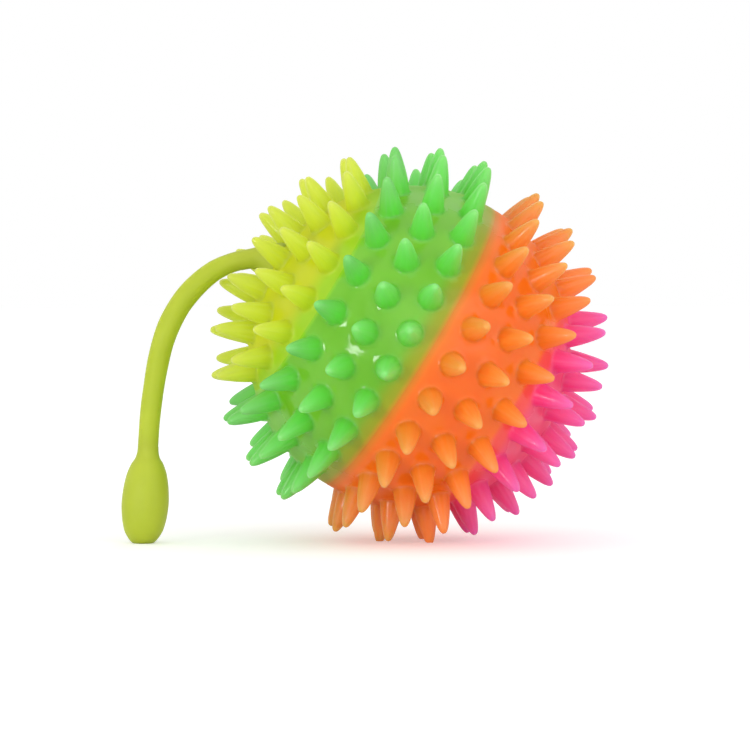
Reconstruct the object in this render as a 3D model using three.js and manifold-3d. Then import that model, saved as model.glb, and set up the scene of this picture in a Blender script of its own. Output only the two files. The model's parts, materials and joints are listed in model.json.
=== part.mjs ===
// Spiky jelly ball: a hollow soft ball in four coloured zones, covered in radial spikes. A stretchy tail with
// a grip bulb leaves one pole, and a shake-lit flasher sits inside the ball, held by the tail's plug.
// Millimetres, +Z up. The ball stands on three spike tips at Z = 0, with its centre above the origin, and the
// tail hangs over towards -X until its bulb stands on the same floor.

import * as THREE from 'three';
import { mergeVertices } from 'three/addons/utils/BufferGeometryUtils.js';
import Module from 'manifold-3d';

const wasm = await Module();
wasm.setup();

const { degToRad } = THREE.MathUtils;

// Ball
const BODY_RADIUS = 40.3;
const WALL = 2.5;
const LAP_LENGTH = 2;
const SEAM_GAP = 0.3;
const POLE_HOLE_RADIUS = 5.5;

// Spikes: rows are counted from the equator to a pole, and a turn is a share of the row's own spacing,
// measured from the meridian that the ball lies on. A spike's outline is [radius, share of its length] from
// its flank up to its blunt tip.
const SPIKE_LENGTH = 9.7;
const SPIKE_BASE_RADIUS = 3.1;
const SPIKE_OUTLINE = [[2.3, 0.52], [1.55, 0.86], [0.8, 1]];
const SPIKE_ROOT_DEPTH = 0.8;
const FIRST_ROW_LATITUDE = degToRad(9);
const ROW_SPACING = degToRad(13.5);
const ROWS_PER_ZONE = 3;
const ROW_COUNTS = [25, 23, 19, 16, 12, 6];
const TAIL_SIDE_TURNS = [0.36, 0.34, 0.4, 0.58, 0.6, 0.65];
const FAR_SIDE_TURNS = [0.25, 0, 0.5, 0.55, 0.45, 0.3];
const FOOT_FLAT = 0.5;

// Tail
const FIT_GAP = 0.3;
const CORD_RADIUS = 2.55;
const PIVOT_RISE = 1.7;
const COLLAR_RADIUS = 3.9;
const COLLAR_DEPTH = 3.5;
const COLLAR_PIN_RADIUS = 1.9;
const COLLAR_PIN_HEAD_RADIUS = 3;
const COLLAR_PIN_HEAD_HEIGHT = 1.2;
const PLUG_FLANGE_RADIUS = 9;
const PLUG_FLANGE_HEIGHT = 2.5;
const PLUG_SLEEVE_LENGTH = 6.6;
const PLUG_SLEEVE_WALL = 1.7;
const BULB_RADIUS = 5.9;
const BULB_LENGTH = 21.5;

// Tail route from its pivot to the bulb's neck: [x, z] steps from the pivot, in the plane Y = 0
const CORD_ROUTE = [
  [0, 0], [-2.8, 0.2], [-5.5, -0.2], [-8, -0.7], [-10.5, -1.6], [-13, -2.8], [-15.2, -4.4], [-17.4, -6.3],
  [-19.5, -8.5], [-21.4, -10.9], [-23, -13.5], [-24.4, -16.2], [-25.5, -19], [-26.4, -21.9], [-27.1, -24.9],
  [-27.7, -27.9], [-28.2, -31], [-28.7, -34.2], [-29.1, -37.5], [-29.4, -40.5], [-29.6, -43.5],
  [-29.8, -46.5], [-29.9, -49],
];

// Flasher
const CELL_RADIUS = 3.95;
const CELL_HEIGHT = 3.6;
const CELL_COUNT = 3;
const CELL_SLEEVE_WALL = 0.5;
const CONTACT_THICKNESS = 0.4;
const CONTACT_RADIUS = 3.5;
const CONTACT_LEG_WIDTH = 2;
const CASE_RADIUS = 10.5;
const CASE_WALL = 1.2;
const CASE_CEILING = 1.4;
const DOME_DEPTH = 10;
const DOME_LEDGE = 1;
const BOARD_THICKNESS = 1;
const LED_RADIUS = 1.5;
const LED_FLANGE_RADIUS = 1.9;
const LED_FLANGE_HEIGHT = 0.8;
const LED_HEIGHT = 5;
const CHIP_RADIUS = 2;
const CHIP_HEIGHT = 1.1;
const SWITCH_POST_RADIUS = 0.4;
const SWITCH_POST_LENGTH = 5.4;
const SWITCH_SPRING_RADIUS = 1.5;
const SWITCH_SPRING_WIRE = 0.4;
const SWITCH_SPRING_TURNS = 9;

// Facets
const BALL_SEGMENTS = 24;
const BALL_STEPS_PER_ZONE = 3;
const SPIKE_SIDES = 6;
const TURNED_SEGMENTS = 16;
const SMALL_SEGMENTS = 8;
const CORD_SIDES = 10;
const MERGE_DISTANCE = 1e-4;

// Places that follow from the sizes above
const TIP_RADIUS = BODY_RADIUS + SPIKE_LENGTH;
const INNER_RADIUS = BODY_RADIUS - WALL;
const ZONE_SEAM = FIRST_ROW_LATITUDE + (ROWS_PER_ZONE - 0.5) * ROW_SPACING;
const rowLatitude = (row) => FIRST_ROW_LATITUDE + row * ROW_SPACING;

// The ball lies on one tip of its second row and two of its third, which sets how far its pole is raised
const REST_ROW = 1;
const HALF_STEP = Math.PI / ROW_COUNTS[REST_ROW + 1];
const nearFoot = rowLatitude(REST_ROW);
const farFoot = rowLatitude(REST_ROW + 1);
const POLE_RISE = Math.atan2(
  Math.cos(nearFoot) - Math.cos(farFoot) * Math.cos(HALF_STEP),
  Math.sin(farFoot) - Math.sin(nearFoot),
);
const CENTRE_HEIGHT = TIP_RADIUS * Math.cos(POLE_RISE - nearFoot) - FOOT_FLAT;

// A closed geometry as a solid: shared corners merged, and triangles with a repeated corner dropped
function solid(geometry) {
  const bare = new THREE.BufferGeometry();
  bare.setAttribute('position', geometry.getAttribute('position'));
  bare.setIndex(geometry.getIndex());
  const merged = mergeVertices(bare, MERGE_DISTANCE);
  const index = merged.getIndex().array;
  const corners = [];
  for (let i = 0; i < index.length; i += 3) {
    const [a, b, c] = index.slice(i, i + 3);
    if (a !== b && b !== c && c !== a) corners.push(a, b, c);
  }
  return new wasm.Manifold(new wasm.Mesh({
    numProp: 3,
    vertProperties: Float32Array.from(merged.getAttribute('position').array),
    triVerts: Uint32Array.from(corners),
  }));
}

function geometryOf(body) {
  const mesh = body.getMesh();
  const geometry = new THREE.BufferGeometry();
  geometry.setAttribute('position', new THREE.BufferAttribute(mesh.vertProperties, 3));
  geometry.setIndex(new THREE.BufferAttribute(mesh.triVerts, 1));
  geometry.computeVertexNormals();
  return geometry;
}

// A named mesh of a solid, with a finish of its own
function piece(name, body, color, roughness, metalness = 0) {
  const material = new THREE.MeshStandardMaterial({ color, roughness, metalness });
  const mesh = new THREE.Mesh(geometryOf(body), material);
  mesh.name = name;
  return mesh;
}

// A solid turned about +Z from [radius, height] points that run anticlockwise
function turned(points, segments = TURNED_SEGMENTS) {
  const profile = points.map(([radius, height]) => new THREE.Vector2(radius, height));
  return solid(new THREE.LatheGeometry(profile, segments).rotateX(Math.PI / 2));
}

// A turned ring or sleeve, whose profile closes on itself
function turnedRing(points, segments) {
  return turned([...points, points[0]], segments);
}

function disc(radius, bottom, top, segments) {
  return turned([[0, bottom], [radius, bottom], [radius, top], [0, top]], segments);
}

function box(width, depth, height, x, y, z) {
  return solid(new THREE.BoxGeometry(width, depth, height).translate(x, y, z));
}

// [radius, height] points on a circle about the ball's centre, between two latitudes
function arc(radius, from, to, steps) {
  return Array.from({ length: steps + 1 }, (_, i) => {
    const latitude = THREE.MathUtils.lerp(from, to, i / steps);
    return [radius * Math.cos(latitude), radius * Math.sin(latitude)];
  });
}

// Shell of one zone. Its lower rim is an outer lip over the next zone, and its upper rim an inner lip under
// the last.
const LAP = LAP_LENGTH / BODY_RADIUS;
const RIM_GAP = SEAM_GAP / BODY_RADIUS;
const OUTER_LIP_INSIDE = BODY_RADIUS - WALL / 2 + SEAM_GAP / 2;
const INNER_LIP_OUTSIDE = BODY_RADIUS - WALL / 2 - SEAM_GAP / 2;
const NORTH = Math.PI / 2;

function zoneShell(lower, upper) {
  const outerStart = lower === -NORTH ? lower : lower + RIM_GAP / 2;
  const outerEnd = upper === NORTH ? upper : upper - RIM_GAP / 2;
  const innerStart = upper === NORTH ? upper : upper + LAP - RIM_GAP;
  const innerEnd = lower === -NORTH ? lower : lower + LAP;
  const profile = arc(BODY_RADIUS, outerStart, outerEnd, BALL_STEPS_PER_ZONE);
  if (upper !== NORTH) profile.push(...arc(INNER_LIP_OUTSIDE, outerEnd, innerStart, 1));
  profile.push(...arc(INNER_RADIUS, innerStart, innerEnd, BALL_STEPS_PER_ZONE));
  if (lower !== -NORTH) {
    profile.push(...arc(OUTER_LIP_INSIDE, innerEnd, outerStart, 1));
    if (upper !== NORTH) return turnedRing(profile, BALL_SEGMENTS);
    // The tail's cap starts and ends on the axis, so its profile is turned from pole to pole
    const pole = BALL_STEPS_PER_ZONE + 1;
    return turned([...profile.slice(pole), ...profile.slice(0, pole)], BALL_SEGMENTS);
  }
  return turned(profile, BALL_SEGMENTS);
}

// One spike, standing on +Z at the ball's surface, rooted in the wall
function spikeGeometry() {
  const root = BODY_RADIUS - SPIKE_ROOT_DEPTH;
  const flank = SPIKE_OUTLINE.map(([radius, share]) => [radius, BODY_RADIUS + share * SPIKE_LENGTH]);
  const outline = [[0, root], [SPIKE_BASE_RADIUS, root], ...flank, [0, TIP_RADIUS]];
  const profile = outline.map(([radius, height]) => new THREE.Vector2(radius, height));
  return new THREE.LatheGeometry(profile, SPIKE_SIDES).rotateX(Math.PI / 2);
}

const UP = new THREE.Vector3(0, 0, 1);

// Direction at a latitude, and at a turn about the pole from the meridian that the ball lies on
function direction(latitude, turn) {
  const across = Math.cos(latitude);
  return new THREE.Vector3(-across * Math.cos(turn), -across * Math.sin(turn), Math.sin(latitude));
}

// The spikes of one row, as separate solids
function spikeRow(latitude, count, turnShare) {
  return Array.from({ length: count }, (_, i) => {
    const out = direction(latitude, (2 * Math.PI * (i + turnShare)) / count);
    const turn = new THREE.Quaternion().setFromUnitVectors(UP, out);
    return solid(spikeGeometry().applyQuaternion(turn));
  });
}

// A zone's shell with the spikes of three rows, from the row nearest the equator
function zone(lower, upper, firstRow, side, turns) {
  const rows = Array.from({ length: ROWS_PER_ZONE }, (_, i) => firstRow + i);
  const spikes = rows.flatMap((row) => spikeRow(side * rowLatitude(row), ROW_COUNTS[row], turns[row]));
  return spikes.reduce((body, spike) => body.add(spike), zoneShell(lower, upper));
}

// The ball stands in a turned group: its pole axis is local +Z, and the meridian it lies on faces local -X
const ball = new THREE.Group();
ball.position.set(0, 0, CENTRE_HEIGHT);
ball.rotation.y = POLE_RISE - Math.PI / 2;
ball.updateMatrixWorld();

// The floor, in the ball's own frame, presses the tips that it lies on flat
function floorBlock() {
  const side = 4 * TIP_RADIUS;
  const slab = new THREE.BoxGeometry(side, side, TIP_RADIUS).translate(0, 0, -TIP_RADIUS / 2);
  return solid(slab.applyMatrix4(ball.matrixWorld.clone().invert()));
}

function limeCap() {
  const hole = disc(POLE_HOLE_RADIUS, INNER_RADIUS - WALL, TIP_RADIUS, TURNED_SEGMENTS);
  return zone(ZONE_SEAM, NORTH, ROWS_PER_ZONE, 1, TAIL_SIDE_TURNS).subtract(hole);
}

function pinkCap() {
  const poleSpike = solid(spikeGeometry().rotateX(Math.PI));
  return zone(-NORTH, -ZONE_SEAM, ROWS_PER_ZONE, -1, FAR_SIDE_TURNS).add(poleSpike);
}

ball.add(piece('lime_cap', limeCap(), '#c3dc3c', 0.4));
ball.add(piece('green_band', zone(0, ZONE_SEAM, 0, 1, TAIL_SIDE_TURNS), '#62d24a', 0.4));
const restingBand = zone(-ZONE_SEAM, 0, 0, -1, FAR_SIDE_TURNS).subtract(floorBlock());
ball.add(piece('orange_band', restingBand, '#fb7c38', 0.4));
ball.add(piece('pink_cap', pinkCap(), '#f84682', 0.4));

// Tail root. The plug fills the pole hole and holds the flasher, and the collar turns in it on a headed pin.
// The tail's ball end bends about a pivot just above the skin, in the collar's funnel.
const PIVOT = BODY_RADIUS + PIVOT_RISE;
const DISH_RADIUS = CORD_RADIUS + FIT_GAP;
const COLLAR_BOTTOM = BODY_RADIUS - COLLAR_DEPTH;
const PLUG_STEM_RADIUS = POLE_HOLE_RADIUS - FIT_GAP;
const PLUG_FLOOR = COLLAR_BOTTOM - FIT_GAP;
const innerSkin = (radius) => Math.sqrt(INNER_RADIUS ** 2 - radius ** 2) - FIT_GAP;
const PLUG_RIM_TOP = innerSkin(PLUG_FLANGE_RADIUS);
const PLUG_BOTTOM = PLUG_RIM_TOP - PLUG_FLANGE_HEIGHT;
const SLEEVE_BOTTOM = PLUG_BOTTOM - PLUG_SLEEVE_LENGTH;
const SLEEVE_INSIDE = PLUG_FLANGE_RADIUS - PLUG_SLEEVE_WALL;
const PIN_HEAD_TOP = PLUG_BOTTOM - FIT_GAP;
const PIN_HEAD_BOTTOM = PIN_HEAD_TOP - COLLAR_PIN_HEAD_HEIGHT;

function tailPlug() {
  const pinBore = COLLAR_PIN_RADIUS + FIT_GAP;
  const collarSeat = COLLAR_RADIUS + FIT_GAP;
  return turnedRing([
    [pinBore, PLUG_BOTTOM],
    [SLEEVE_INSIDE, PLUG_BOTTOM],
    [SLEEVE_INSIDE, SLEEVE_BOTTOM],
    [PLUG_FLANGE_RADIUS, SLEEVE_BOTTOM],
    [PLUG_FLANGE_RADIUS, PLUG_RIM_TOP],
    [PLUG_STEM_RADIUS, innerSkin(PLUG_STEM_RADIUS)],
    [PLUG_STEM_RADIUS, BODY_RADIUS],
    [collarSeat, BODY_RADIUS],
    [collarSeat, PLUG_FLOOR],
    [pinBore, PLUG_FLOOR],
  ]);
}

// The funnel is a dish round the tail's ball end that opens into a cone, tangent to it
function tailCollar() {
  const coneFoot = DISH_RADIUS * Math.SQRT1_2;
  const bend = arc(DISH_RADIUS, -Math.PI / 4, -Math.PI / 2, 3);
  const dish = bend.map(([radius, height]) => [radius, PIVOT + height]);
  return turned([
    [0, PIN_HEAD_BOTTOM],
    [COLLAR_PIN_HEAD_RADIUS, PIN_HEAD_BOTTOM],
    [COLLAR_PIN_HEAD_RADIUS, PIN_HEAD_TOP],
    [COLLAR_PIN_RADIUS, PIN_HEAD_TOP],
    [COLLAR_PIN_RADIUS, COLLAR_BOTTOM],
    [COLLAR_RADIUS, COLLAR_BOTTOM],
    [COLLAR_RADIUS, BODY_RADIUS],
    [2 * coneFoot - PIVOT_RISE, BODY_RADIUS],
    ...dish,
  ]);
}

ball.add(piece('tail_plug', tailPlug(), '#c3d040', 0.5));
ball.add(piece('tail_collar', tailCollar(), '#bfcd3e', 0.5));

// Flasher, listed from the plug down towards the ball's centre
const SPIGOT_RADIUS = SLEEVE_INSIDE - FIT_GAP;
const CASE_TOP = SLEEVE_BOTTOM - FIT_GAP;
const CASE_INSIDE = CASE_RADIUS - CASE_WALL;
const TOP_CONTACT_TOP = CASE_TOP - CASE_CEILING - FIT_GAP;
const STACK_TOP = TOP_CONTACT_TOP - CONTACT_THICKNESS - FIT_GAP;
const CELL_PITCH = CELL_HEIGHT + FIT_GAP;
const STACK_BOTTOM = STACK_TOP - CELL_COUNT * CELL_PITCH + FIT_GAP;
const BOTTOM_CONTACT_TOP = STACK_BOTTOM - FIT_GAP;
const BOARD_TOP = BOTTOM_CONTACT_TOP - CONTACT_THICKNESS - FIT_GAP;
const BOARD_BOTTOM = BOARD_TOP - BOARD_THICKNESS;
const BOARD_FACE = BOARD_BOTTOM - FIT_GAP;
const BOARD_RADIUS = CASE_INSIDE - FIT_GAP;
const PARTS_RING = BOARD_RADIUS / 2;
const RIM_LINE = (BOARD_TOP + BOARD_BOTTOM) / 2;
const DOME_RIM = RIM_LINE - FIT_GAP / 2;

function flasherBase() {
  return turned([
    [0, CASE_TOP - CASE_CEILING],
    [CASE_INSIDE, CASE_TOP - CASE_CEILING],
    [CASE_INSIDE, RIM_LINE + FIT_GAP / 2],
    [CASE_RADIUS, RIM_LINE + FIT_GAP / 2],
    [CASE_RADIUS, CASE_TOP],
    [SPIGOT_RADIUS, CASE_TOP],
    [SPIGOT_RADIUS, PIN_HEAD_BOTTOM - FIT_GAP],
    [0, PIN_HEAD_BOTTOM - FIT_GAP],
  ]);
}

// A quarter ellipse below a level, from the axis out to its widest radius
function bowl(radius, depth, level, steps) {
  return Array.from({ length: steps + 1 }, (_, i) => {
    const angle = (i / steps) * (Math.PI / 2);
    return [radius * Math.sin(angle), level - depth * Math.cos(angle)];
  });
}

function flasherDome() {
  const steps = 6;
  const ledge = CASE_INSIDE - DOME_LEDGE;
  const depthInside = DOME_DEPTH - CASE_WALL - (DOME_RIM - BOARD_FACE);
  return turned([
    ...bowl(CASE_RADIUS, DOME_DEPTH, DOME_RIM, steps),
    [CASE_INSIDE, DOME_RIM],
    [CASE_INSIDE, BOARD_FACE],
    ...bowl(ledge, depthInside, BOARD_FACE, steps).reverse(),
  ]);
}

function topContact() {
  const legAcross = CELL_RADIUS + CELL_SLEEVE_WALL + 2 * FIT_GAP + CONTACT_THICKNESS / 2;
  const legEnd = legAcross + CONTACT_THICKNESS / 2;
  const legBottom = BOARD_TOP + FIT_GAP;
  const plate = disc(CONTACT_RADIUS, TOP_CONTACT_TOP - CONTACT_THICKNESS, TOP_CONTACT_TOP, SMALL_SEGMENTS);
  const armHeight = TOP_CONTACT_TOP - CONTACT_THICKNESS / 2;
  const arm = box(legEnd, CONTACT_LEG_WIDTH, CONTACT_THICKNESS, legEnd / 2, 0, armHeight);
  const legLength = TOP_CONTACT_TOP - legBottom;
  const leg = box(CONTACT_THICKNESS, CONTACT_LEG_WIDTH, legLength, legAcross, 0, legBottom + legLength / 2);
  return plate.add(arm).add(leg);
}

function cellSleeve() {
  const inside = CELL_RADIUS + FIT_GAP;
  const outside = inside + CELL_SLEEVE_WALL;
  return turnedRing([
    [inside, STACK_BOTTOM],
    [outside, STACK_BOTTOM],
    [outside, STACK_TOP],
    [inside, STACK_TOP],
  ]);
}

// A lamp that hangs from the board, with a flange at the board and a round end
function led() {
  const steps = 3;
  const roundEnd = bowl(LED_RADIUS, LED_RADIUS, LED_RADIUS - LED_HEIGHT, steps);
  return turned([
    ...roundEnd,
    [LED_RADIUS, -LED_FLANGE_HEIGHT],
    [LED_FLANGE_RADIUS, -LED_FLANGE_HEIGHT],
    [LED_FLANGE_RADIUS, 0],
    [0, 0],
  ], SMALL_SEGMENTS);
}

// A close-wound coil, as a sleeve with one rib for each turn
function switchSpring() {
  const inside = SWITCH_SPRING_RADIUS - SWITCH_SPRING_WIRE;
  const groove = SWITCH_SPRING_RADIUS - SWITCH_SPRING_WIRE / 3;
  const length = SWITCH_SPRING_TURNS * SWITCH_SPRING_WIRE;
  const starts = Array.from({ length: SWITCH_SPRING_TURNS }, (_, i) => i * SWITCH_SPRING_WIRE - length);
  const outer = starts.flatMap((start) => [
    [groove, start],
    [SWITCH_SPRING_RADIUS, start + SWITCH_SPRING_WIRE / 2],
  ]);
  return turnedRing([[inside, -length], ...outer, [groove, 0], [inside, 0]], SMALL_SEGMENTS);
}

// A piece that hangs from the board's lower face, at an offset from the ball's axis
function onBoard(mesh, x, y) {
  mesh.position.set(x, y, BOARD_FACE);
  return mesh;
}

const flasher = new THREE.Group();
flasher.add(piece('flasher_base', flasherBase(), '#e9ece8', 0.35));
flasher.add(piece('flasher_dome', flasherDome(), '#f4f6f4', 0.1));
flasher.add(piece('contact_top', topContact(), '#c9c6bd', 0.3, 1));
for (let i = 0; i < CELL_COUNT; i += 1) {
  const top = STACK_TOP - i * CELL_PITCH;
  flasher.add(piece(`cell_${i + 1}`, disc(CELL_RADIUS, top - CELL_HEIGHT, top), '#b9bcc0', 0.25, 1));
}
flasher.add(piece('cell_sleeve', cellSleeve(), '#2f6db4', 0.45));
const contactBottom = disc(CONTACT_RADIUS, BOTTOM_CONTACT_TOP - CONTACT_THICKNESS, BOTTOM_CONTACT_TOP);
flasher.add(piece('contact_bottom', contactBottom, '#c9c6bd', 0.3, 1));
flasher.add(piece('circuit_board', disc(BOARD_RADIUS, BOARD_BOTTOM, BOARD_TOP), '#2f7d46', 0.5));
flasher.add(onBoard(piece('led_red', led(), '#e8453c', 0.15), PARTS_RING, 0));
flasher.add(onBoard(piece('led_blue', led(), '#4a76e0', 0.15), -PARTS_RING, 0));
const blob = turned([...bowl(CHIP_RADIUS, CHIP_HEIGHT, 0, 3), [0, 0]], SMALL_SEGMENTS);
flasher.add(onBoard(piece('flash_chip', blob, '#1c1c1e', 0.3), 0, PARTS_RING));
const post = disc(SWITCH_POST_RADIUS, -SWITCH_POST_LENGTH, 0, SMALL_SEGMENTS);
flasher.add(onBoard(piece('switch_post', post, '#c8b070', 0.3, 1), 0, -PARTS_RING));
flasher.add(onBoard(piece('switch_spring', switchSpring(), '#c2c4c6', 0.3, 1), 0, -PARTS_RING));
ball.add(flasher);

// Tail, hanging in the plane Y = 0 from its pivot on the pole axis to the bulb, which stands on the floor
const pivot = ball.localToWorld(new THREE.Vector3(0, 0, PIVOT));
const neckHeight = BULB_LENGTH + FIT_GAP;
const routeDrop = CORD_ROUTE.at(-1)[1];
const dropScale = (neckHeight - pivot.z) / routeDrop;
const route = CORD_ROUTE.map(([x, z]) => new THREE.Vector3(pivot.x + x, 0, pivot.z + z * dropScale));
const neck = route.at(-1);

function tailCord() {
  const section = new THREE.Shape().absarc(0, 0, CORD_RADIUS, 0, 2 * Math.PI);
  const path = new THREE.CatmullRomCurve3(route);
  const tube = solid(new THREE.ExtrudeGeometry(section, {
    steps: route.length - 1,
    curveSegments: CORD_SIDES / 2,
    bevelEnabled: false,
    extrudePath: path,
  }));
  const ballEnd = new THREE.SphereGeometry(CORD_RADIUS, CORD_SIDES, CORD_SIDES / 2);
  return tube.add(solid(ballEnd.translate(pivot.x, pivot.y, pivot.z)));
}

// Bulb outline as [share of its radius, share of its length] from the flat foot to the neck
function tailBulb() {
  const outline = [
    [0.47, 0], [0.6, 0.045], [0.8, 0.13], [0.92, 0.25], [0.98, 0.36], [1, 0.47], [0.98, 0.58], [0.92, 0.7],
    [0.81, 0.83], [0.65, 0.93], [0.46, 1],
  ].map(([radius, height]) => [radius * BULB_RADIUS, height * BULB_LENGTH]);
  return turned([[0, 0], ...outline, [0, BULB_LENGTH]]);
}

const tail = new THREE.Group();
tail.add(piece('tail_cord', tailCord(), '#bfcd3e', 0.5));
const bulb = piece('tail_bulb', tailBulb(), '#c1cc46', 0.5);
bulb.position.set(neck.x, 0, 0);
tail.add(bulb);

const jellyBall = new THREE.Group();
jellyBall.add(ball, tail);

export default jellyBall;
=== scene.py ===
"""Looks of the spiky jelly ball: soft spiked skins, the stretchy tail, the grip bulb and the flasher.

Metres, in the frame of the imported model. The ball's own frame has its origin at the ball's centre and +Z
along the pole that the tail leaves.
"""

import json
import math
import random

import bmesh
import bpy
import numpy as np
from mathutils import Matrix, Vector
from mathutils.geometry import delaunay_2d_cdt


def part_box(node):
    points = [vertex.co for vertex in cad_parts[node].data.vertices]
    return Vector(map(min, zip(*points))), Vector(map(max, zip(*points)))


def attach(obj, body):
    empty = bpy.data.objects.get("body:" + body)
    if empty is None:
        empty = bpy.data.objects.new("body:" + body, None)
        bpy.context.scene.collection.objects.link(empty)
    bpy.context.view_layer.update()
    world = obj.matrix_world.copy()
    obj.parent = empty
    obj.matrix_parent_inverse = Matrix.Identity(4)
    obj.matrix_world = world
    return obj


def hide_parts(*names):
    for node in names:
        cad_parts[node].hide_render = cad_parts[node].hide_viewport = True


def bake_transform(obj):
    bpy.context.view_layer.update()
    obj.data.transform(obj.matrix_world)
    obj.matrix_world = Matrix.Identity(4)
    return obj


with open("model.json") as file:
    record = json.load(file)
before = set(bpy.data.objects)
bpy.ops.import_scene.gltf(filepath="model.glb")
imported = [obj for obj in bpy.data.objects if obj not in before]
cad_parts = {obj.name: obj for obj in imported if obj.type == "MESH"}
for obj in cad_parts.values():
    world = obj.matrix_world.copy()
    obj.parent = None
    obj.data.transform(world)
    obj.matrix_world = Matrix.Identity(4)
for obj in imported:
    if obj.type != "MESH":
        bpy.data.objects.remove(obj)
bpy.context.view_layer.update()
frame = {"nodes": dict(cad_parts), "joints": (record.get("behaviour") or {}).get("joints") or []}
MM = 0.001

# Ball, with the sizes and rows of the part's source
BODY_RADIUS = 40.3 * MM
INNER_RADIUS = 37.8 * MM
PIVOT_RISE = 1.7 * MM
FIRST_ROW_LATITUDE = math.radians(9)
ROW_SPACING = math.radians(13.5)
ROWS_PER_ZONE = 3
ROW_COUNTS = [25, 23, 19, 16, 12, 6]
TAIL_SIDE_TURNS = [0.36, 0.34, 0.4, 0.58, 0.6, 0.65]
FAR_SIDE_TURNS = [0.25, 0, 0.5, 0.55, 0.45, 0.3]
ZONE_SEAM = FIRST_ROW_LATITUDE + (ROWS_PER_ZONE - 0.5) * ROW_SPACING
SEAM_HEIGHT = BODY_RADIUS * math.sin(ZONE_SEAM)

# Spikes, round and a little longer than the six-sided ones of the solids.
# Their outline is [radius, height above the skin] in millimetres, from near the tip to the skin.
SPIKE_LENGTH = 10 * MM
SPIKE_OUTLINE = [
    [0.5, 9.82], [0.8, 9.5], [1.04, 9.02], [1.26, 8.5], [1.46, 7.9], [1.7, 7], [1.94, 6], [2.17, 5],
    [2.37, 4], [2.55, 3], [2.7, 2], [2.83, 1.1], [2.92, 0.55], [3.04, 0.22], [3.2, 0.03],
]
SPIKE_FOOT_RADIUS = 3.45 * MM
SPIKE_SIDES = 20
SPIKE_LEAN = 0.3 * MM
LEAN_CURVE = 1.5
SPIKE_SHORTFALL = 0.02

# Marks on the skin for its finish: where a spike's colour fades out, and how far apart spike numbers are
FADE_REACH = [2.6 * MM, 3.9 * MM]
SPIKE_NUMBER_STEP = 3.7

# Skin mesh, with a slightly smaller hole for the tail than the solid cap has
SKIN_HOLE_RADIUS = 4.9 * MM
RIM_POINTS = 180
FILL_POINTS = 15000
FILL_CLEARANCE = 0.55 * MM
FLAT_MERGE = 1e-7
WALL_STEPS = 12
SEAM_GAP = 0.01 * MM
SEAM_GROOVE = 0.04 * MM
SHARP_ANGLE = math.radians(50)

# Tail, on the route of the part's source: [along X, along Z] in millimetres from the pivot
TAIL_STEPS = [
    [0, 0], [-2.8, 0.2], [-5.5, -0.2], [-8, -0.7], [-10.5, -1.6], [-13, -2.8], [-15.2, -4.4], [-17.4, -6.3],
    [-19.5, -8.5], [-21.4, -10.9], [-23, -13.5], [-24.4, -16.2], [-25.5, -19], [-26.4, -21.9], [-27.1, -24.9],
    [-27.7, -27.9], [-28.2, -31], [-28.7, -34.2], [-29.1, -37.5], [-29.4, -40.5], [-29.6, -43.5],
    [-29.8, -46.5], [-29.9, -49],
]
ROUTE_SPAN_POINTS = 6
ROUTE_EASING = 12
TUBE_SIDES = 28

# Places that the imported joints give
joints = {joint["name"]: joint for joint in frame["joints"]}
PIVOT = Vector(joints["tail_swivel"]["pos_m"])
POLE = Vector(joints["tail_swivel"]["axis"]).normalized()
BALL_CENTRE = PIVOT - POLE * (BODY_RADIUS + PIVOT_RISE)
SIDEWAYS = Vector((0, 1, 0))
BALL_TURN = Matrix((SIDEWAYS.cross(POLE), SIDEWAYS, POLE)).transposed()

# Camera, where the photographer stood. The photograph spans PHOTO_WIDTH at the ball's distance.
CAMERA_TURN = math.radians(6.8)
CAMERA_RISE = math.radians(2)
CAMERA_DISTANCE = 1.1
PHOTO_WIDTH = 188.06 * MM
AIM_LEFT = 8.58 * MM
AIM_BELOW = 7.2 * MM
SENSOR = 36


def make_camera():
    level = math.cos(CAMERA_RISE)
    back = Vector((-math.sin(CAMERA_TURN) * level, -math.cos(CAMERA_TURN) * level, math.sin(CAMERA_RISE)))
    right = Vector((math.cos(CAMERA_TURN), -math.sin(CAMERA_TURN), 0))
    up = back.cross(right)
    aim = BALL_CENTRE - right * AIM_LEFT - up * AIM_BELOW
    data = bpy.data.cameras.new("photo_camera")
    data.sensor_width = SENSOR
    data.lens = SENSOR * CAMERA_DISTANCE / PHOTO_WIDTH
    camera = bpy.data.objects.new("photo_camera", data)
    turn = Matrix((right, up, back)).transposed()
    camera.matrix_world = Matrix.Translation(aim + back * CAMERA_DISTANCE) @ turn.to_4x4()
    bpy.context.scene.collection.objects.link(camera)
    bpy.context.scene.camera = camera


make_camera()


# Mesh helpers
def make_object(name, vertices, faces):
    """A smooth-shaded mesh object, with its faces turned outwards."""
    mesh = bpy.data.meshes.new(name)
    mesh.from_pydata([tuple(map(float, v)) for v in vertices], [], faces)
    shape = bmesh.new()
    shape.from_mesh(mesh)
    bmesh.ops.recalc_face_normals(shape, faces=shape.faces)
    shape.to_mesh(mesh)
    shape.free()
    mesh.shade_smooth()
    mesh.set_sharp_from_angle(angle=SHARP_ANGLE)
    obj = bpy.data.objects.new(name, mesh)
    bpy.context.scene.collection.objects.link(obj)
    return obj


def circle_angles(count):
    """Even angles round a circle."""
    return np.arange(count) * 2 * math.pi / count


def ring_quads(first, second):
    """Quads between two closed rings of vertex numbers."""
    count = len(first)
    return [(first[i], first[(i + 1) % count], second[(i + 1) % count], second[i]) for i in range(count)]


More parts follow.
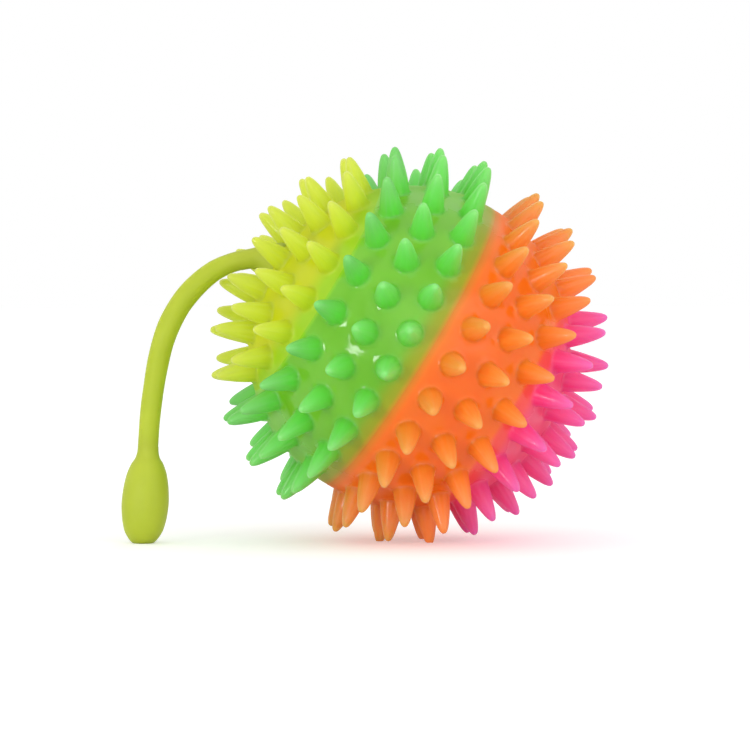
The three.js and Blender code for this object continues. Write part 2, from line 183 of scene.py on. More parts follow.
def loft(rings, start, end):
    """Vertices and faces of a closed tube through rings of points, with a point at each end."""
    sides = len(rings[0])
    vertices = [start] + [point for ring in rings for point in ring] + [end]
    numbers = [[1 + row * sides + i for i in range(sides)] for row in range(len(rings))]
    faces = [(0, numbers[0][(i + 1) % sides], numbers[0][i]) for i in range(sides)]
    for first, second in zip(numbers, numbers[1:]):
        faces += ring_quads(first, second)
    last = len(vertices) - 1
    faces += [(last, numbers[-1][i], numbers[-1][(i + 1) % sides]) for i in range(sides)]
    return vertices, faces


def spline(points, per_span):
    """Points on a Catmull-Rom curve through the given ones."""
    points = np.array(points, float)
    padded = np.vstack([2 * points[0] - points[1], points, 2 * points[-1] - points[-2]])
    made = []
    for a, b, c, d in zip(padded, padded[1:], padded[2:], padded[3:]):
        square, cube = 2 * a - 5 * b + 4 * c - d, 3 * b - a - 3 * c + d
        for t in np.arange(per_span) / per_span:
            made.append(b + 0.5 * ((c - a) * t + square * t**2 + cube * t**3))
    return np.array(made + [points[-1]])


def eased(points, passes):
    """The points with small wobbles smoothed out, and the ends kept."""
    points = points.copy()
    for _ in range(passes):
        points[1:-1] = (points[:-2] + 2 * points[1:-1] + points[2:]) / 4
    return points


def lengths_along(points):
    """Each point's distance from the first one along the line through them."""
    return np.concatenate([[0], np.cumsum(np.linalg.norm(np.diff(points, axis=0), axis=1))])


def tube_rings(centres, radii, sides):
    """Rings round a centreline in the plane Y = 0."""
    ahead = np.gradient(centres, axis=0)
    ahead /= np.linalg.norm(ahead, axis=1)[:, None]
    across = np.cross(ahead, np.array(SIDEWAYS))
    return [
        [
            centre + radius * (math.cos(a) * side + math.sin(a) * np.array(SIDEWAYS))
            for a in circle_angles(sides)
        ]
        for centre, radius, side in zip(centres, radii, across)
    ]


# Tail cord
def tail_route():
    """The route's points, with its height fitted to the solid tail."""
    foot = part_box("tail_cord")[0].z
    stretch = (foot - PIVOT.z) / (TAIL_STEPS[-1][1] * MM)
    steps = [[PIVOT.x + x * MM, 0, PIVOT.z + z * MM * stretch] for x, z in TAIL_STEPS]
    return eased(spline(steps, ROUTE_SPAN_POINTS), ROUTE_EASING)


ROUTE = tail_route()
ROUTE_LENGTHS = lengths_along(ROUTE)
NECK = Vector(ROUTE[-1])

# The tail's thickness is [distance from its root, radius] in millimetres.
# Its slight waves are [share of the radius, turn in radians per metre, turn at the root].
CORD_RADII = [[0, 2.42], [10, 2.42], [17, 2.74], [23, 2.82], [40, 2.76], [53, 2.57], [66, 2.55]]
CORD_WAVES = [[0.012, 260, 0], [0.008, 610, 1]]


def cord_radius(lengths):
    distances, radii = np.array(CORD_RADII).T * MM
    return np.interp(lengths, distances, radii)


def make_cord():
    waves = 1 + sum(share * np.sin(ROUTE_LENGTHS * rate + start) for share, rate, start in CORD_WAVES)
    rings = tube_rings(ROUTE, cord_radius(ROUTE_LENGTHS) * waves, TUBE_SIDES)
    vertices, faces = loft(rings, ROUTE[0], ROUTE[-1])
    return make_object("tail_cord_soft", vertices, faces)


cord = make_cord()


# Grip bulb: [share of radius, share of length] from the foot to the neck, which runs out on the cord
BULB_OUTLINE = [
    [0.3, 0], [0.44, 0.003], [0.58, 0.038], [0.7, 0.085], [0.81, 0.14], [0.88, 0.205], [0.94, 0.28],
    [0.98, 0.37], [1, 0.46], [0.985, 0.56], [0.95, 0.655], [0.89, 0.75], [0.81, 0.834], [0.67, 0.925],
    [0.53, 0.985], [0.46, 1.05], [0.437, 1.12],
]
BULB_SPAN_POINTS = 4
BULB_SIDES = 56
BULB_LEAN = 1.2 * MM
PARTING_RIDGE = 0.12 * MM
PARTING_WIDTH = 0.09


def make_bulb():
    """The bulb, with its foot a little to one side and a fine ridge where the mould's halves met."""
    low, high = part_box("tail_bulb")
    middle = (low + high) / 2
    radius = (high.x - low.x) / 2
    length = high.z - low.z
    outline = [[r * radius, h * length] for r, h in BULB_OUTLINE]
    profile = np.maximum(spline(outline, BULB_SPAN_POINTS), 0)

    def centre(height):
        return middle.x - BULB_LEAN * (1 - height / length)

    rings = []
    for across, height in profile:
        ring = []
        for a in circle_angles(BULB_SIDES):
            ridge = PARTING_RIDGE * math.exp(-((math.cos(a) / PARTING_WIDTH) ** 2)) * min(1, across / radius)
            reach = across + ridge
            place = (centre(height) + reach * math.cos(a), middle.y + reach * math.sin(a), low.z + height)
            ring.append(place)
        rings.append(ring)
    neck_height = profile[-1][1]
    foot = (centre(0), middle.y, low.z)
    top = (centre(neck_height), middle.y, low.z + neck_height)
    vertices, faces = loft(rings, foot, top)
    return make_object("tail_bulb_soft", vertices, faces)


bulb = make_bulb()


# Tail root: the flare where the tail grows out of the skin, round the collar
FLARE_REACH = 7 * MM
FLARE_LENGTH = 5 * MM
FLARE_DEPTH = 2.6 * MM
FLARE_STEPS_BELOW = 4
FLARE_EASING = 6
FLARE_COVER = 0.06 * MM
FLARE_EXTRA = 1.74 * MM
FLARE_CURVE = 2.2
FLARE_MOST_SPREAD = 1.3


def make_flare():
    near = ROUTE[ROUTE_LENGTHS < FLARE_REACH]
    shares = 1 - np.arange(FLARE_STEPS_BELOW) / FLARE_STEPS_BELOW
    below = [np.array(PIVOT - POLE * FLARE_DEPTH * share) for share in shares]
    centres = eased(np.vstack([below, near]), FLARE_EASING)
    lengths = lengths_along(centres) - FLARE_DEPTH
    spread = np.clip(1 - lengths / FLARE_LENGTH, 0, FLARE_MOST_SPREAD)
    radii = cord_radius(np.maximum(lengths, 0)) + FLARE_COVER + FLARE_EXTRA * spread**FLARE_CURVE
    rings = tube_rings(centres, radii, TUBE_SIDES)
    vertices, faces = loft(rings, centres[0], centres[-1])
    return make_object("tail_root_soft", vertices, faces)


flare = make_flare()


# How deep light goes into the tail: [none within, all beyond] a distance from where two pieces of it join
ROOT_DEPTHS = [8 * MM, 13 * MM]
NECK_DEPTHS = [3 * MM, 7 * MM]


def store_tail_depth(mesh):
    places = np.array([vertex.co for vertex in mesh.vertices])
    shares = []
    for join, (near, far) in ((PIVOT, ROOT_DEPTHS), (NECK, NECK_DEPTHS)):
        distance = np.linalg.norm(places - np.array(join), axis=1)
        shares.append(np.clip((distance - near) / (far - near), 0, 1))
    layer = mesh.attributes.new("tail_depth", "FLOAT", "POINT")
    layer.data.foreach_set("value", np.minimum(*shares).astype(np.float32))


for piece in (cord, bulb, flare):
    store_tail_depth(piece.data)


# Spiked skins
def spike_axes(side):
    """Unit directions of one side's spikes in the ball's frame, with their row numbers."""
    turns = TAIL_SIDE_TURNS if side > 0 else FAR_SIDE_TURNS
    axes, rows = [], []
    for row, count in enumerate(ROW_COUNTS):
        latitude = side * (FIRST_ROW_LATITUDE + row * ROW_SPACING)
        for i in range(count):
            turn = 2 * math.pi * (i + turns[row]) / count
            level = math.cos(latitude)
            axes.append([-level * math.cos(turn), -level * math.sin(turn), math.sin(latitude)])
            rows.append(row)
    if side < 0:
        axes.append([0, 0, -1])
        rows.append(len(ROW_COUNTS))
    return np.array(axes), rows


def square_to(axis):
    """Two unit directions square to an axis and to each other."""
    near_pole = abs(axis[2]) >= 0.9
    helper = np.array([1.0, 0, 0]) if near_pole else np.array([0, 0, 1.0])
    across = np.cross(helper, axis)
    across /= np.linalg.norm(across)
    return across, np.cross(axis, across)


def grow_spike(axis, draw):
    """Rings of one spike from near its tip to its foot on the skin, and its tip, with a lean of its own."""
    across, along = square_to(axis)
    lean = SPIKE_LEAN * (draw.uniform(-1, 1) * across + draw.uniform(-1, 1) * along)
    tall = 1 - SPIKE_SHORTFALL * draw.random()
    angles = circle_angles(SPIKE_SIDES)
    circle = np.cos(angles)[:, None] * across + np.sin(angles)[:, None] * along

    def centre(height):
        return axis * (BODY_RADIUS + height * tall) + lean * max(0, height / SPIKE_LENGTH) ** LEAN_CURVE

    rings = [centre(height * MM) + radius * MM * circle for radius, height in SPIKE_OUTLINE]
    foot = axis * math.sqrt(BODY_RADIUS**2 - SPIKE_FOOT_RADIUS**2) + SPIKE_FOOT_RADIUS * circle
    return rings + [foot], centre(SPIKE_LENGTH)


def latitude_circle(latitude, radius):
    angles = circle_angles(RIM_POINTS)
    level = radius * math.cos(latitude)
    height = np.full(RIM_POINTS, radius * math.sin(latitude))
    return np.column_stack([level * np.cos(angles), level * np.sin(angles), height])


def fill_directions(side, axes):
    """Even points on one half of the skin, clear of the spikes' feet, the seams and the tail's hole."""
    index = np.arange(FILL_POINTS) + 0.5
    z = 1 - 2 * index / FILL_POINTS
    turn = index * math.pi * (3 - math.sqrt(5))
    level = np.sqrt(1 - z**2)
    points = np.column_stack([level * np.cos(turn), level * np.sin(turn), z])
    clear = FILL_CLEARANCE / BODY_RADIUS
    latitude = np.arcsin(z) * side
    keep = (latitude > clear) & (np.abs(latitude - ZONE_SEAM) > clear)
    keep &= (points @ axes.T).max(axis=1) < math.cos(math.asin(SPIKE_FOOT_RADIUS / BODY_RADIUS) + clear)
    if side > 0:
        keep &= latitude < math.pi / 2 - SKIN_HOLE_RADIUS / BODY_RADIUS - clear
    return points[keep]


def flat_place(points, side):
    """Stereographic places of points on the skin, seen from the far pole."""
    unit = points / np.linalg.norm(points, axis=1)[:, None]
    return unit[:, :2] / (1 + side * unit[:, 2:])


def half_skin(side, axes, draw):
    """Points, loops and triangles of one half of the outer skin, between the spikes, and the spikes."""
    spikes = [grow_spike(axis, draw) for axis in axes]
    loops = [rings[-1] for rings, _ in spikes]
    loops.append(latitude_circle(side * ZONE_SEAM, BODY_RADIUS))
    loops.append(latitude_circle(0, BODY_RADIUS))
    if side > 0:
        loops.append(latitude_circle(math.acos(SKIN_HOLE_RADIUS / BODY_RADIUS), BODY_RADIUS))
    points = np.vstack(loops + [fill_directions(side, axes) * BODY_RADIUS])
    numbers, edges, loop_of = [], [], {}
    start = 0
    for which, loop in enumerate(loops):
        ring = list(range(start, start + len(loop)))
        numbers.append(ring)
        edges += list(zip(ring, ring[1:] + ring[:1]))
        loop_of.update((i, which) for i in ring)
        start += len(loop)
    flat = [Vector(place) for place in flat_place(points, side)]
    _, _, faces, origins, _, _ = delaunay_2d_cdt(flat, edges, [], 0, FLAT_MERGE)
    triangles = [tuple(origins[i][0] for i in face) for face in faces]
    closed = set(range(len(spikes))) | ({len(loops) - 1} if side > 0 else set())

    def open_skin(triangle):
        owners = {loop_of.get(i) for i in triangle}
        return len(owners) > 1 or not owners <= closed

    return points, numbers, [t for t in triangles if open_skin(t)], spikes


class Skin:
    """Vertices and faces of one zone, gathered from a half skin."""

    def __init__(self, points):
        self.points = points
        self.vertices = []
        self.faces = []
        self.numbers = {}

    def add(self, point):
        self.vertices.append(np.array(point, float))
        return len(self.vertices) - 1

    def shared(self, number):
        if number not in self.numbers:
            self.numbers[number] = self.add(self.points[number])
        return self.numbers[number]

    def add_spike(self, rings, tip, foot_numbers):
        made = [[self.add(point) for point in ring] for ring in rings[:-1]]
        made.append([self.shared(number) for number in foot_numbers])
        top = self.add(tip)
        self.faces += [(top, made[0][i], made[0][(i + 1) % SPIKE_SIDES]) for i in range(SPIKE_SIDES)]
        for first, second in zip(made, made[1:]):
            self.faces += ring_quads(first, second)

    def tuck_rim(self, numbers, latitude, inwards):
        """Draws a rim in and away from its seam, which leaves a fine groove between two zones."""
        tucked = latitude_circle(latitude + inwards * SEAM_GAP / BODY_RADIUS, BODY_RADIUS - SEAM_GROOVE)
        rim = [self.shared(number) for number in numbers]
        for number, point in zip(rim, tucked):
            self.vertices[number] = point
        return rim

    def add_wall(self, outer, latitudes):
        """The rim's edge and the inner wall, from one rim's ring through the given latitudes."""
        ring = outer
        for latitude in latitudes:
            inner = [self.add(point) for point in latitude_circle(latitude, INNER_RADIUS)]
            self.faces += ring_quads(ring, inner)
            ring = inner
        return ring


def rest_on_floor(vertices):
    """Presses what reaches below the floor flat on it."""
    up = np.array(BALL_TURN.transposed() @ Vector((0, 0, 1)))
    vertices = np.array(vertices)
    depth = np.minimum(vertices @ up + BALL_CENTRE.z, 0)
    return vertices - depth[:, None] * up


def store_spike_marks(mesh, places, axes):
    """Keeps two marks at each point for the skin's finish.

    spike_fade is how much of the nearest spike's colour is left there, from 1 on the spike to 0.
    spike_side is the side of that spike that the point is on, with the spike's number.
    """
    heights = places @ axes.T
    nearest = heights.argmax(axis=1)
    aside = places - heights.max(axis=1)[:, None] * axes[nearest]
    distance = np.linalg.norm(aside, axis=1)
    near, far = FADE_REACH
    fade = np.clip((far - distance) / (far - near), 0, 1)
    layer = mesh.attributes.new("spike_fade", "FLOAT", "POINT")
    layer.data.foreach_set("value", fade.astype(np.float32))
    frames = np.array([square_to(axis) for axis in axes])[nearest]
    turn = np.einsum("pij,pj->pi", frames, aside) / np.maximum(distance, MM / 100)[:, None]
    marks = np.column_stack([turn, nearest * SPIKE_NUMBER_STEP])
    layer = mesh.attributes.new("spike_side", "FLOAT_VECTOR", "POINT")
    layer.data.foreach_set("vector", marks.astype(np.float32).ravel())


def make_zones(side, band_name, cap_name, seed):
    """The band and the cap on one side of the ball's equator."""
    axes, rows = spike_axes(side)
    points, loops, triangles, spikes = half_skin(side, axes, random.Random(seed))
    seam, equator = loops[len(spikes)], loops[len(spikes) + 1]
    band, cap = Skin(points), Skin(points)
    for triangle in triangles:
        height = side * points[list(triangle), 2].mean()
        zone = cap if height > SEAM_HEIGHT else band
        zone.faces.append(tuple(zone.shared(number) for number in triangle))
    for (rings, tip), row, foot in zip(spikes, rows, loops):
        zone = band if row < ROWS_PER_ZONE else cap
        zone.add_spike(rings, tip, foot)
    steps = np.linspace(0, 1, WALL_STEPS + 1)
    lower = band.tuck_rim(equator, 0, side)
    upper = band.tuck_rim(seam, side * ZONE_SEAM, -side)
    wall = band.add_wall(lower, side * ZONE_SEAM * steps)
    band.faces += ring_quads(wall, upper)
    rim = cap.tuck_rim(seam, side * ZONE_SEAM, side)
    if side > 0:
        hole = math.acos(SKIN_HOLE_RADIUS / INNER_RADIUS)
        wall = cap.add_wall(rim, ZONE_SEAM + (hole - ZONE_SEAM) * steps)
        cap.faces += ring_quads(wall, [cap.shared(number) for number in loops[-1]])
    else:
        wall = cap.add_wall(rim, -(ZONE_SEAM + (math.pi / 2 - ZONE_SEAM) * steps[:-1]))
        pole = cap.add((0, 0, -INNER_RADIUS))
        cap.faces += [(pole, wall[i], wall[(i + 1) % RIM_POINTS]) for i in range(RIM_POINTS)]
    made = []
    for name, zone in ((band_name, band), (cap_name, cap)):
        places = rest_on_floor(zone.vertices)
        obj = make_object(name, places @ np.array(BALL_TURN).T + np.array(BALL_CENTRE), zone.faces)
        store_spike_marks(obj.data, places, axes)
        made.append(obj)
    return made


TAIL_SIDE_SEED = 5
FAR_SIDE_SEED = 11
green_skin, lime_skin = make_zones(1, "green_skin", "lime_skin", TAIL_SIDE_SEED)
orange_skin, pink_skin = make_zones(-1, "orange_skin", "pink_skin", FAR_SIDE_SEED)


# Shake switch: the wire coil, which is a ribbed sleeve among the solids
COIL_RADIUS = 1.3 * MM
COIL_WIRE_RADIUS = 0.19 * MM
COIL_TURNS = 9
COIL_PITCH = 0.4 * MM
COIL_STEPS = 28
COIL_SIDES = 8


def make_coil():
    root = Vector(joints["switch_tremble"]["pos_m"])
    turn = np.arange(COIL_TURNS * COIL_STEPS + 1) * 2 * math.pi / COIL_STEPS
    drop = -(turn / (2 * math.pi)) * COIL_PITCH - COIL_WIRE_RADIUS
    centres = np.column_stack([COIL_RADIUS * np.cos(turn), COIL_RADIUS * np.sin(turn), drop])
    up = np.array([0, 0, 1.0])
    rings = []
    for centre, a in zip(centres, turn):
        out = np.array([math.cos(a), math.sin(a), 0])
        sides = [math.cos(b) * out + math.sin(b) * up for b in circle_angles(COIL_SIDES)]
        rings.append([centre + COIL_WIRE_RADIUS * side for side in sides])
    vertices, faces = loft(rings, centres[0], centres[-1])
    obj = make_object("switch_coil", vertices, faces)
    obj.matrix_world = Matrix.Translation(root) @ BALL_TURN.to_4x4()
    return obj


coil = make_coil()


# Node helpers, for a material or for the world
def new_material(name):
    material = bpy.data.materials.new(name)
    material.use_nodes = True
    return material, material.node_tree.nodes["Principled BSDF"]


def connect(material, source, target):
    material.node_tree.links.new(source, target)


def set_inputs(material, node, inputs):
    """Sets a node's inputs, each to a value or to another node's output."""
    for key, value in inputs.items():
        if isinstance(value, bpy.types.NodeSocket):
            connect(material, value, node.inputs[key])
        else:
            node.inputs[key].default_value = value


def put(material, kind, inputs=None, **settings):
    """A new node with its settings and inputs."""
    node = material.node_tree.nodes.new(kind)
    for key, value in settings.items():
        setattr(node, key, value)
    set_inputs(material, node, inputs or {})
    return node


def linear(red, green, blue):
    """A colour as Blender stores it, from its usual 0 to 255 values."""
    def channel(value):
        value /= 255
        return value / 12.92 if value <= 0.04045 else ((value + 0.055) / 1.055) ** 2.4
    return (channel(red), channel(green), channel(blue), 1)


def ranged(material, value, low, high, smooth=True):
    """A value's place between two limits, from 0 to 1."""
    kind = "SMOOTHSTEP" if smooth else "LINEAR"
    limits = {"Value": value, "From Min": low, "From Max": high}
    return put(material, "ShaderNodeMapRange", limits, interpolation_type=kind).outputs["Result"]


# The colour sockets of a mix node, which has others of the same names
MIX_FIRST, MIX_SECOND, MIX_RESULT = 6, 7, 2


def mixed(material, factor, first, second):
    inputs = {"Factor": factor, MIX_FIRST: first, MIX_SECOND: second}
    return put(material, "ShaderNodeMix", inputs, data_type="RGBA").outputs[MIX_RESULT]


def computed(material, operation, first, second=0.0):
    return put(material, "ShaderNodeMath", {0: first, 1: second}, operation=operation).outputs["Value"]


def plus_share(material, value, share, of):
    """A value with a share of another one added."""
    return computed(material, "ADD", computed(material, "MULTIPLY", of, share), value)


def attribute(material, name, output):
    return put(material, "ShaderNodeAttribute", attribute_name=name).outputs[output]


def object_place(material):
    return put(material, "ShaderNodeTexCoord").outputs["Object"]


def ball_place(material):
    """Places in the ball's own frame."""
    inputs = {"Vector": object_place(material), "Location": BALL_CENTRE, "Rotation": BALL_TURN.to_euler()}
    return put(material, "ShaderNodeMapping", inputs, vector_type="TEXTURE").outputs["Vector"]


def noise(material, place, scale, detail=3.0):
    inputs = {"Vector": place, "Scale": scale, "Detail": detail}
    return put(material, "ShaderNodeTexNoise", inputs).outputs["Fac"]


def bump(material, height, strength, distance):
    inputs = {"Height": height, "Strength": strength, "Distance": distance}
    return put(material, "ShaderNodeBump", inputs).outputs["Normal"]


# Flecks of dust: [cells per metre, share of the cells that hold one]
BALL_FLECKS = [140, 0.012]
TAIL_FLECKS = [160, 0.01]
FLECK = linear(52, 50, 22)
FLECK_SIZE = 0.045


def flecked(material, place, colour, scale, share):
    """The colour with a few dark flecks of dust moulded in."""
    cells = put(material, "ShaderNodeTexVoronoi", {"Vector": place, "Scale": scale, "Randomness": 1.0})
    chosen = put(material, "ShaderNodeSeparateColor", {"Color": cells.outputs["Color"]}).outputs["Red"]
    rare = computed(material, "GREATER_THAN", chosen, 1 - share)
    near = computed(material, "LESS_THAN", cells.outputs["Distance"], FLECK_SIZE)
    return mixed(material, computed(material, "MULTIPLY", rare, near), colour, FLECK)


LEAST_SCATTER = 0.35


def scatter_radius(colour):
    """How far each colour of light goes in jelly of this colour, as shares of its scale."""
    return tuple(LEAST_SCATTER + (1 - LEAST_SCATTER) * channel for channel in colour[:3])


# Finishes
JELLY_IOR = 1.47
FINE_DETAIL = 2.0

# Jelly of the ball. Scales are of noise, in cells per metre, and of streaks, round a spike.
CLOUD_SCALE = 45
RIPPLE_SCALE = 160
GRAIN_SCALE = 900
STREAK_SCALE = 4.5
SPIKE_START = 0.35 * MM
PALING_START = 1.5 * MM
STREAK_PALING = 0.25
STREAK_HEIGHT = 3.0
GRAIN_HEIGHT = 0.15
SPIKE_ROUGHNESS = 0.3
ASLANT_ROUGHNESS = 0.5
GRAIN_ROUGHNESS = 0.06
SPIKE_COAT = 0.35
SKIN_SCATTER = 0.5
SPIKE_SCATTER = 0.4
SKIN_SCATTER_SCALE = 5 * MM
SCATTER_SEAMS = [0.5 * MM, 5 * MM]


def jelly_colour(material, place, height, rise, streak, colours, strips):
    """Cloudy skin with coloured strips, spikes that grow paler to their tips, and a few flecks."""
    skin, skin_deep, spike, tip = colours
    cloud = ranged(material, noise(material, place, CLOUD_SCALE), 0.35, 0.65)
    colour = mixed(material, cloud, skin_deep, skin)
    for start, end, tint in strips:
        colour = mixed(material, ranged(material, height, start, end), colour, tint)
    paler = plus_share(material, rise, STREAK_PALING, streak)
    fade = ranged(material, attribute(material, "spike_fade", "Fac"), 0.0, 1.0)
    colour = mixed(material, fade, colour, mixed(material, paler, spike, tip))
    return flecked(material, place, colour, *BALL_FLECKS)


def jelly(name, gloss, clearness, colours, strips):
    """Glossy skin with satin spikes, in which light goes deeper by clearness.

    The colours are the skin's, the skin's deeper one, the spikes' and their tips'. A strip is
    [height from, height to, colour] along the pole axis.
    """
    material, shader = new_material(name)
    place = ball_place(material)
    reach = put(material, "ShaderNodeVectorMath", {0: place}, operation="LENGTH").outputs["Value"]
    height = put(material, "ShaderNodeSeparateXYZ", {"Vector": place}).outputs["Z"]
    on_spike = ranged(material, reach, BODY_RADIUS, BODY_RADIUS + SPIKE_START)
    rise = ranged(material, reach, BODY_RADIUS + PALING_START, BODY_RADIUS + SPIKE_LENGTH, smooth=False)
    round_spike = noise(material, attribute(material, "spike_side", "Vector"), STREAK_SCALE, FINE_DETAIL)
    streak = computed(material, "MULTIPLY", ranged(material, round_spike, 0.4, 0.66), on_spike)
    grain = noise(material, place, GRAIN_SCALE, FINE_DETAIL)
    aslant = ranged(material, put(material, "ShaderNodeLayerWeight").outputs["Facing"], 0.35, 0.85)

    rough = plus_share(material, gloss, SPIKE_ROUGHNESS, on_spike)
    rough = plus_share(material, rough, ASLANT_ROUGHNESS, aslant)
    rough = plus_share(material, rough, GRAIN_ROUGHNESS, grain)
    ripple = plus_share(material, noise(material, place, RIPPLE_SCALE), GRAIN_HEIGHT, grain)
    ripple = plus_share(material, ripple, STREAK_HEIGHT, streak)

    to_middle = computed(material, "ABSOLUTE", height)
    to_band_seam = computed(material, "ABSOLUTE", computed(material, "SUBTRACT", to_middle, SEAM_HEIGHT))
    to_seam = computed(material, "MINIMUM", to_middle, to_band_seam)
    clear_of_seam = ranged(material, to_seam, *SCATTER_SEAMS)
    scatter = plus_share(material, SKIN_SCATTER, SPIKE_SCATTER, on_spike)
    set_inputs(material, shader, {
        "Base Color": jelly_colour(material, place, height, rise, streak, colours, strips),
        "Roughness": rough,
        "Normal": bump(material, ripple, 0.12, 0.2 * MM),
        "IOR": JELLY_IOR,
        "Specular IOR Level": 0.4,
        "Coat Weight": computed(material, "MULTIPLY", on_spike, SPIKE_COAT),
        "Coat Roughness": 0.12,
        "Subsurface Weight": computed(material, "MULTIPLY", clear_of_seam, scatter),
        "Subsurface Scale": plus_share(material, SKIN_SCATTER_SCALE, clearness, on_spike),
        "Subsurface Radius": scatter_radius(colours[2]),
    })
    return material


# Jelly of the tail
TAIL_CLOUD_SCALE = 90
TAIL_RIPPLE_SCALE = 220
TAIL_GRAIN_SCALE = 1400
TAIL_GRAIN_HEIGHT = 0.3


def tail_jelly(name, colour, deep):
    """The tail's softer satin finish, a little cloudy. Light scatters less where two pieces of it join."""
    material, shader = new_material(name)
    place = object_place(material)
    cloud = ranged(material, noise(material, place, TAIL_CLOUD_SCALE), 0.3, 0.7)
    grain = noise(material, place, TAIL_GRAIN_SCALE, FINE_DETAIL)
    ripple = plus_share(material, noise(material, place, TAIL_RIPPLE_SCALE), TAIL_GRAIN_HEIGHT, grain)
    set_inputs(material, shader, {
        "Base Color": flecked(material, place, mixed(material, cloud, deep, colour), *TAIL_FLECKS),
        "Roughness": plus_share(material, 0.44, 0.14, grain),
        "Normal": bump(material, ripple, 0.3, 0.2 * MM),
        "IOR": JELLY_IOR,
        "Specular IOR Level": 0.3,
        "Subsurface Weight": computed(material, "MULTIPLY", attribute(material, "tail_depth", "Fac"), 0.9),
        "Subsurface Scale": 10 * MM,
        "Subsurface Radius": scatter_radius(colour),
    })
    return material


def moulded(name, colour, worn, roughness, transmission=0.0, scale=700):
    """Moulded plastic, film or resin, with a faint grain and slight colour variation."""
    material, shader = new_material(name)
    grain = noise(material, object_place(material), scale)
    set_inputs(material, shader, {
        "Base Color": mixed(material, ranged(material, grain, 0.3, 0.7), worn, colour),
        "Roughness": plus_share(material, roughness, 0.15, grain),
        "Normal": bump(material, grain, 0.15, 0.05 * MM),
        "Transmission Weight": transmission,
    })
    return material


# Metal of the flasher, with its drawing lines across Z
DRAWN_STRETCH = (1, 1, 14)
DRAWN_SCALE = 900
TARNISH_SCALE = 400


def plated(name, colour, tarnish, roughness):
    """Plated or drawn metal, with fine drawing lines and a little tarnish."""
    material, shader = new_material(name)
    place = object_place(material)
    inputs = {"Vector": place, "Scale": DRAWN_STRETCH}
    stretched = put(material, "ShaderNodeMapping", inputs).outputs["Vector"]
    lines = noise(material, stretched, DRAWN_SCALE)
    patch = ranged(material, noise(material, place, TARNISH_SCALE), 0.45, 0.75)
    set_inputs(material, shader, {
        "Base Color": mixed(material, patch, colour, tarnish),
        "Roughness": plus_share(material, roughness, 0.2, lines),
        "Normal": bump(material, lines, 0.1, 0.03 * MM),
        "Metallic": 1.0,
    })
    return material


LIME = jelly(
    "lime_jelly", 0.3, 16 * MM,
    [linear(207, 216, 14), linear(203, 209, 10), linear(197, 214, 28), linear(189, 210, 58)],
    [[SEAM_HEIGHT + 5.4 * MM, SEAM_HEIGHT + 1.2 * MM, linear(163, 208, 30)]],
)
GREEN = jelly(
    "green_jelly", 0.07, 7 * MM,
    [linear(127, 199, 54), linear(113, 189, 28), linear(108, 212, 74), linear(118, 208, 102)],
    [
        [7 * MM, 1.2 * MM, linear(158, 164, 12)],
        [1.6 * MM, -0.4 * MM, linear(214, 138, 20)],
        [SEAM_HEIGHT - 1 * MM, SEAM_HEIGHT, linear(148, 210, 38)],
    ],
)
ORANGE = jelly(
    "orange_jelly", 0.1, 7 * MM,
    [linear(255, 122, 24), linear(255, 115, 16), linear(255, 134, 30), linear(255, 146, 66)],
    [
        [-2.6 * MM, 0.2 * MM, linear(220, 130, 20)],
        [-SEAM_HEIGHT + 2.4 * MM, -SEAM_HEIGHT + 0.6 * MM, linear(250, 84, 70)],
    ],
)
PINK = jelly(
    "pink_jelly", 0.12, 7 * MM,
    [linear(255, 78, 122), linear(253, 70, 112), linear(255, 62, 140), linear(255, 92, 160)],
    [[-SEAM_HEIGHT - 4 * MM, -SEAM_HEIGHT - 0.8 * MM, linear(250, 82, 76)]],
)
TAIL = tail_jelly("tail_jelly", linear(185, 197, 60), linear(178, 191, 52))

CASE = moulded("case_white", linear(233, 236, 232), linear(222, 226, 222), 0.3)
DOME = moulded("dome_clear", linear(244, 247, 245), linear(236, 242, 240), 0.05, 0.9)
SLEEVE = moulded("sleeve_blue", linear(47, 109, 180), linear(40, 98, 168), 0.35)
BOARD = moulded("board_green", linear(47, 125, 70), linear(38, 108, 58), 0.4, scale=1500)
LAMP_RED = moulded("lamp_red", linear(232, 69, 60), linear(222, 56, 50), 0.05, 0.6)
LAMP_BLUE = moulded("lamp_blue", linear(74, 118, 224), linear(62, 104, 214), 0.05, 0.6)
CHIP = moulded("chip_black", linear(28, 28, 30), linear(36, 36, 38), 0.25)
CONTACT = plated("contact_steel", linear(201, 198, 189), linear(170, 164, 150), 0.25)
CELL = plated("cell_steel", linear(185, 188, 192), linear(160, 162, 164), 0.2)
POST = plated("post_brass", linear(200, 176, 112), linear(168, 140, 84), 0.25)
SPRING = plated("spring_steel", linear(194, 196, 198), linear(150, 150, 150), 0.25)

NODE_FINISHES = {
    "tail_plug": TAIL, "tail_collar": TAIL, "flasher_base": CASE, "flasher_dome": DOME,
    "contact_top": CONTACT, "contact_bottom": CONTACT, "cell_1": CELL, "cell_2": CELL, "cell_3": CELL,
    "cell_sleeve": SLEEVE, "circuit_board": BOARD, "led_red": LAMP_RED, "led_blue": LAMP_BLUE,
    "flash_chip": CHIP, "switch_post": POST,
}
for node, finish in NODE_FINISHES.items():
    frame["nodes"][node].data.materials.clear()
    frame["nodes"][node].data.materials.append(finish)

# What each piece wears, rides on and stands for
SKINS = {
    "lime_cap": (lime_skin, LIME, "lime_jelly"),
    "green_band": (green_skin, GREEN, "green_jelly"),
    "orange_band": (orange_skin, ORANGE, "orange_jelly"),
    "pink_cap": (pink_skin, PINK, "pink_jelly"),
}
for node, (skin, finish, slot) in SKINS.items():
    skin.data.materials.append(finish)
    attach(skin, "ball")
    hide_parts(node)

coil.data.materials.append(SPRING)
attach(coil, "switch")
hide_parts("switch_spring")

for piece in (cord, bulb, flare):
    piece.data.materials.append(TAIL)
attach(bulb, "grip")
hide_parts("tail_bulb")
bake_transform(cord)
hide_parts("tail_cord")
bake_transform(flare)


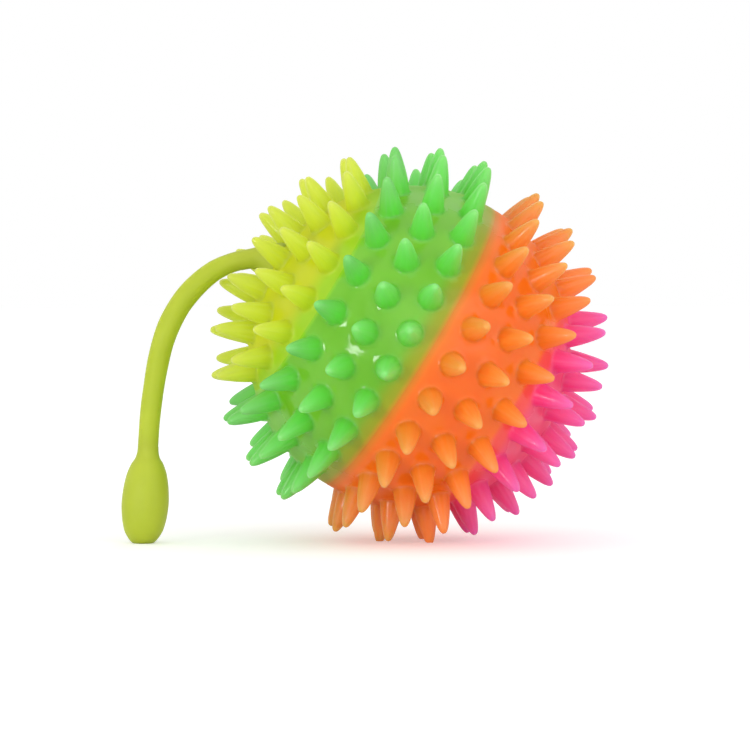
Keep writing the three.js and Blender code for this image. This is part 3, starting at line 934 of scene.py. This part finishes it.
# Stage and light
AMBIENT = 0.75
FLOOR_SIZE = 6
FLOOR_WHITE = 0.9
WHITE = (1, 1, 1, 1)

# Soft lights that look at the ball: name, azimuth and rise in degrees, distance, width, height, power.
# Azimuth 0 is towards -Y, and positive turns towards +X.
LAMPS = [
    ["top_light", 10, 80, 1.0, 0.9, 0.9, 0.3],
    ["key_light", -44, 1, 1.0, 0.18, 0.32, 2.5],
    ["right_light", 48, 10, 1.0, 0.8, 0.8, 0.9],
    ["low_light", 4, -1, 1.0, 2.0, 2.0, 7.5],
    ["back_light", 160, 35, 1.1, 0.6, 0.6, 0.6],
]


def seen_directly(material):
    """1 for what the camera sees, also in a mirror or through glass."""
    rays = put(material, "ShaderNodeLightPath")
    seen = computed(material, "MAXIMUM", rays.outputs["Is Camera Ray"], rays.outputs["Is Glossy Ray"])
    return computed(material, "MAXIMUM", seen, rays.outputs["Is Transmission Ray"])


def make_floor():
    half = FLOOR_SIZE / 2
    mesh = bpy.data.meshes.new("floor")
    corners = [(-half, -half, 0), (half, -half, 0), (half, half, 0), (-half, half, 0)]
    mesh.from_pydata(corners, [], [(0, 1, 2, 3)])
    floor = bpy.data.objects.new("floor", mesh)
    bpy.context.scene.collection.objects.link(floor)
    material, shader = new_material("floor_white")
    glow = computed(material, "MULTIPLY", seen_directly(material), 1 - FLOOR_WHITE * AMBIENT)
    set_inputs(material, shader, {
        "Base Color": (FLOOR_WHITE, FLOOR_WHITE, FLOOR_WHITE, 1),
        "Roughness": 0.9,
        "Specular IOR Level": 0.1,
        "Emission Color": WHITE,
        "Emission Strength": glow,
    })
    mesh.materials.append(material)


def make_world():
    world = bpy.data.worlds.new("studio")
    bpy.context.scene.world = world
    world.use_nodes = True
    levels = {"Value": seen_directly(world), "To Min": AMBIENT, "To Max": 1.0}
    strength = put(world, "ShaderNodeMapRange", levels).outputs["Result"]
    set_inputs(world, world.node_tree.nodes["Background"], {"Color": WHITE, "Strength": strength})


def make_lamp(name, azimuth, rise, distance, width, height, power):
    data = bpy.data.lights.new(name, "AREA")
    data.shape = "RECTANGLE"
    data.size = width
    data.size_y = height
    data.energy = power
    lamp = bpy.data.objects.new(name, data)
    a, e = math.radians(azimuth), math.radians(rise)
    out = Vector((math.sin(a) * math.cos(e), -math.cos(a) * math.cos(e), math.sin(e)))
    lamp.location = BALL_CENTRE + out * distance
    lamp.visible_camera = False
    lamp.rotation_mode = "QUATERNION"
    lamp.rotation_quaternion = out.to_track_quat("Z", "Y")
    bpy.context.scene.collection.objects.link(lamp)


make_floor()
make_world()
for lamp in LAMPS:
    make_lamp(*lamp)
bpy.context.scene.view_settings.view_transform = "Standard"
